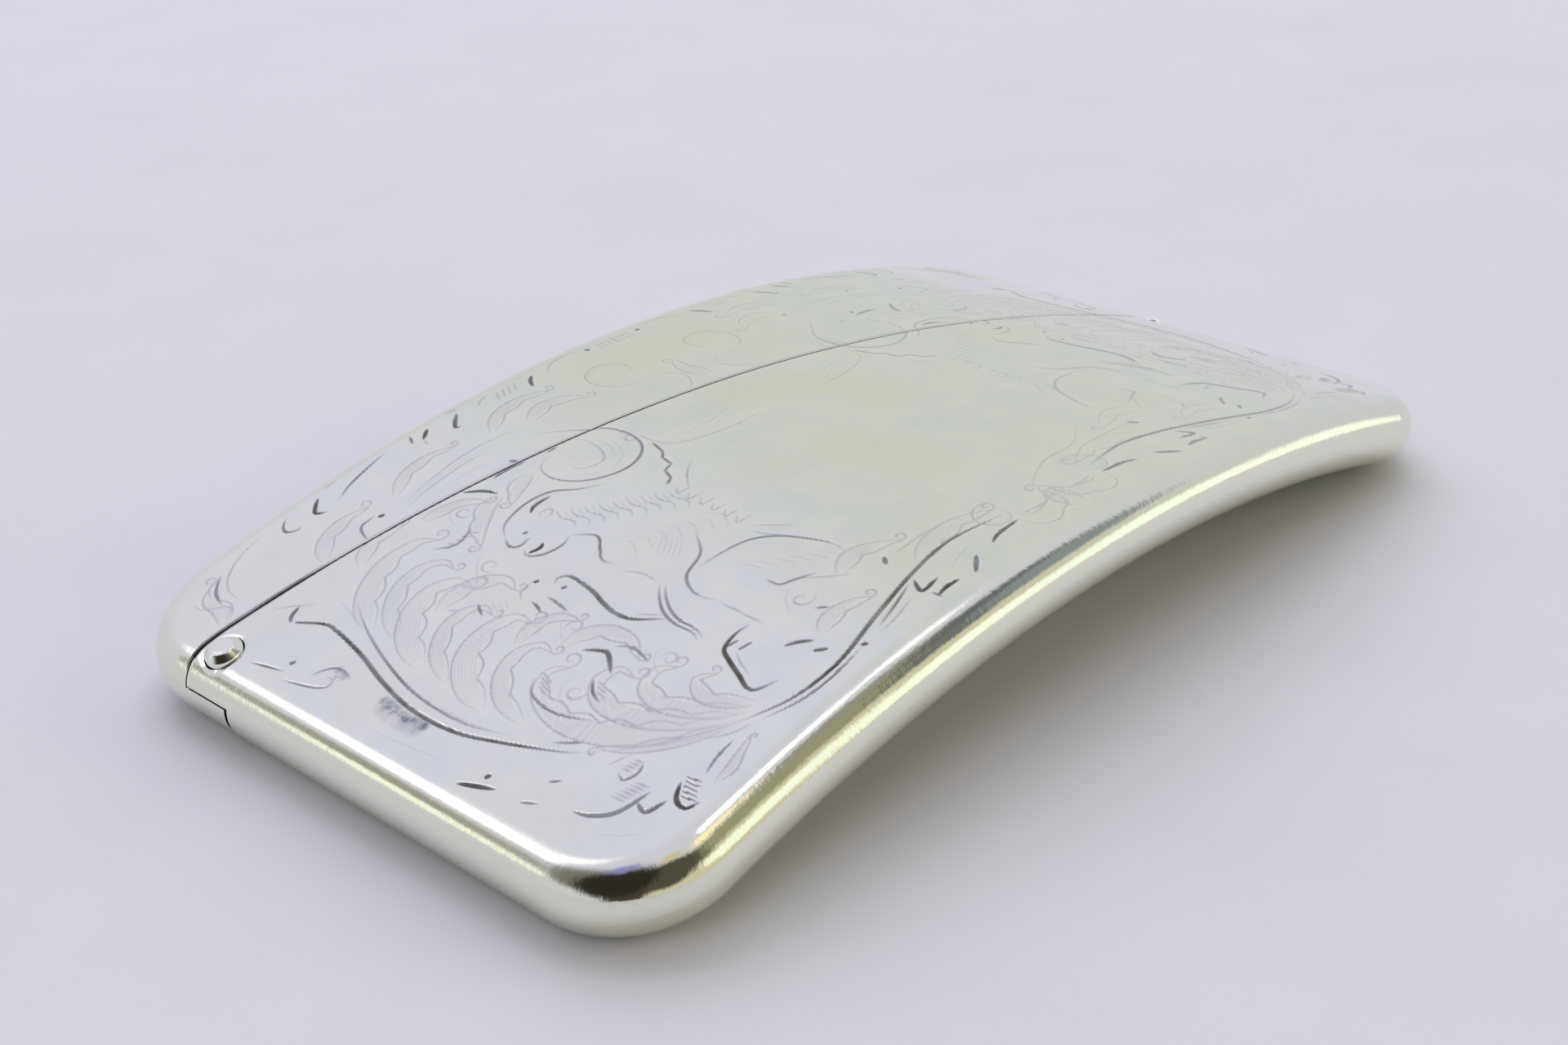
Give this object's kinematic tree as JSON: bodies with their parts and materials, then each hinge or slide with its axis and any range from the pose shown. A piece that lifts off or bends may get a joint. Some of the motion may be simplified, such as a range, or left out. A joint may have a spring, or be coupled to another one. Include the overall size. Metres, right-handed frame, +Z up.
{
  "type": "card case",
  "caption": "Curved engraved metal card case with a diagonal swing lid, end hinge and push-button catch.",
  "frame": {"origin": "centre of the bounding box, on the surface that the case rests on", "axes": "+X along the case from the button's end to the hinge's end, +Y across it towards the lid, +Z up out of the engraved front"},
  "size_m": [0.0916, 0.0526, 0.0123],
  "materials": {
    "engraved_silver": "polished sterling silver with engraved scrolls",
    "polished_silver": "polished sterling silver with fine wear scratches",
    "inner_silver": "unpolished silver, satin",
    "spring_steel": "bright spring steel"
  },
  "bodies": {
    "case": {"body_front_shell": "engraved_silver", "body_back_shell": "polished_silver", "mouth_lip_front": "inner_silver", "mouth_lip_back": "inner_silver", "hinge_knuckle_upper": "polished_silver", "hinge_knuckle_lower": "polished_silver", "hinge_pin": "spring_steel", "catch_anchor": "inner_silver", "catch_rivet_1": "inner_silver", "catch_rivet_2": "inner_silver"},
    "lid": {"lid_front_shell": "engraved_silver", "lid_back_shell": "polished_silver", "hinge_knuckle_lid": "polished_silver", "lid_striker": "inner_silver"},
    "catch": {"catch_leaf": "spring_steel", "catch_tooth": "inner_silver", "push_button": "polished_silver"}
  },
  "joints": [
    {"name": "lid_hinge", "type": "hinge", "parent": "case", "child": "lid", "pos_m": [0.04501, 0.0025, 0.00281], "axis": [0, 0, -1], "range_deg": [0, 110]},
    {"name": "button_press", "type": "hinge", "parent": "case", "child": "catch", "pos_m": [-0.02862, 0.0154, 0.00841], "axis": [0, -1, 0], "range_deg": [0, 2.3], "stiffness_Nm_per_rad": 0.5, "springref_deg": -1.15}
  ]
}
